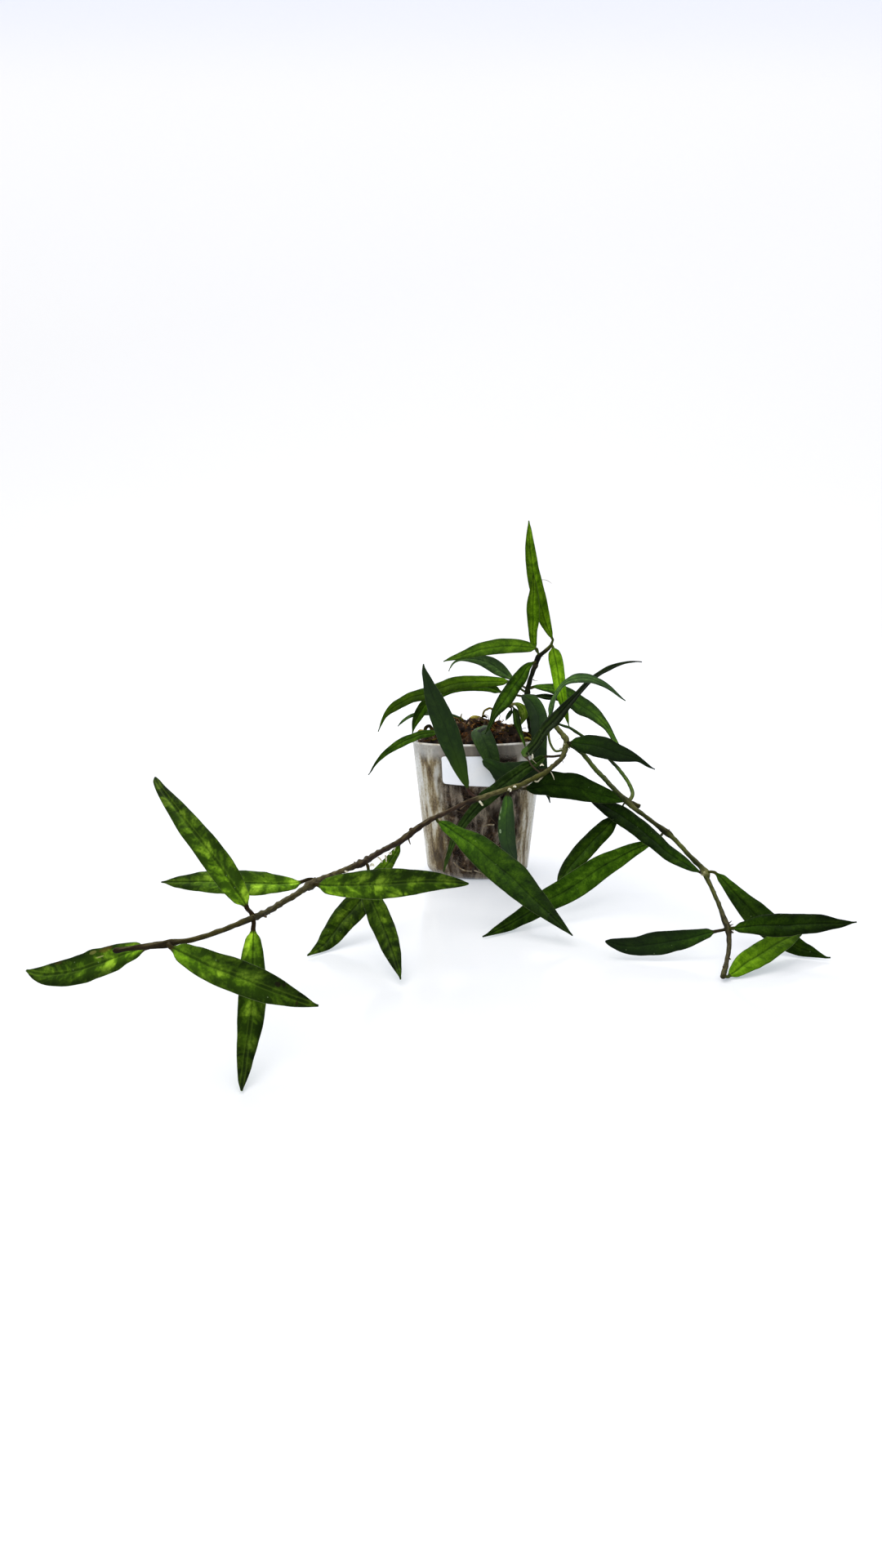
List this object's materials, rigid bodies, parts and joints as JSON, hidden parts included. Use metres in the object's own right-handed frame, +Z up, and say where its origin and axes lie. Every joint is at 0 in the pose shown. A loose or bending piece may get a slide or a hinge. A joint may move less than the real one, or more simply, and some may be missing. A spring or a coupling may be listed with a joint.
{
  "type": "potted hoya pauciflora plant",
  "caption": "Climbing plant with narrow fleshy leaves on long trailing vines and an upright shoot, rooted in a bark medium that fills a small clear conical nursery pot",
  "frame": {"origin": "centre of the pot's underside, on the surface it stands on", "axes": "+Z up; +Y to the back of the plant, away from the camera; +X to the right; the vines trail towards -Y"},
  "size_m": [0.2628, 0.3086, 0.1793],
  "materials": {
    "pot_plastic": "clear, clouded with lime streaks",
    "medium": "rough bark, moss and roots",
    "label_paper": "matt white",
    "stem_green": "satin green-brown",
    "stem_brown": "matt dark brown",
    "leaf_blue": "waxy satin",
    "leaf_bright": "waxy satin",
    "leaf_dark": "waxy satin",
    "leaf_mid": "waxy satin",
    "leaf_mottled": "waxy satin",
    "leaf_olive": "waxy satin"
  },
  "bodies": {
    "root": {"pot": "pot_plastic", "growing_medium": "medium", "label": "label_paper", "stem_left_vine": "stem_brown", "stem_right_vine": "stem_green", "stem_upright": "stem_brown", "stem_young": "stem_green", "shoot_thin": "stem_green", "stub_right": "stem_brown", "leaf_top_tall": "leaf_bright", "leaf_top_second": "leaf_bright", "leaf_top_left": "leaf_bright", "leaf_back_upper": "leaf_blue", "leaf_front_droop": "leaf_mid", "leaf_bright_hanging": "leaf_bright", "leaf_left_arc": "leaf_bright", "leaf_left_under": "leaf_mid", "leaf_left_thin": "leaf_blue", "leaf_left_lower": "leaf_mid", "leaf_vine_upright": "leaf_dark", "leaf_mid_hanging": "leaf_dark", "leaf_right_arch": "leaf_mid", "leaf_right_low": "leaf_blue", "leaf_front_blue": "leaf_blue", "leaf_right_curl": "leaf_blue", "leaf_pot_blue": "leaf_dark", "leaf_channelled": "leaf_blue", "leaf_pot_hanging": "leaf_dark", "leaf_young_narrow": "leaf_mid", "leaf_young_olive": "leaf_olive", "leaf_young_back": "leaf_dark", "leaf_rim_fold": "leaf_blue", "leaf_right_broad": "leaf_dark", "leaf_right_upper": "leaf_dark", "leaf_right_long": "leaf_dark", "leaf_floor_long": "leaf_mid", "leaf_right_short": "leaf_mid", "leaf_end_back": "leaf_mid", "leaf_end_right": "leaf_mid", "leaf_end_bright": "leaf_bright", "leaf_end_left": "leaf_dark", "leaf_front_big": "leaf_mid", "leaf_vine_right": "leaf_mottled", "leaf_vine_back_left": "leaf_mottled", "leaf_vine_back_right": "leaf_mottled", "leaf_vine_left": "leaf_mottled", "leaf_vine_raised": "leaf_mottled", "leaf_vine_down": "leaf_mottled", "leaf_vine_low": "leaf_mottled", "leaf_vine_tip": "leaf_mottled"}
  },
  "joints": []
}
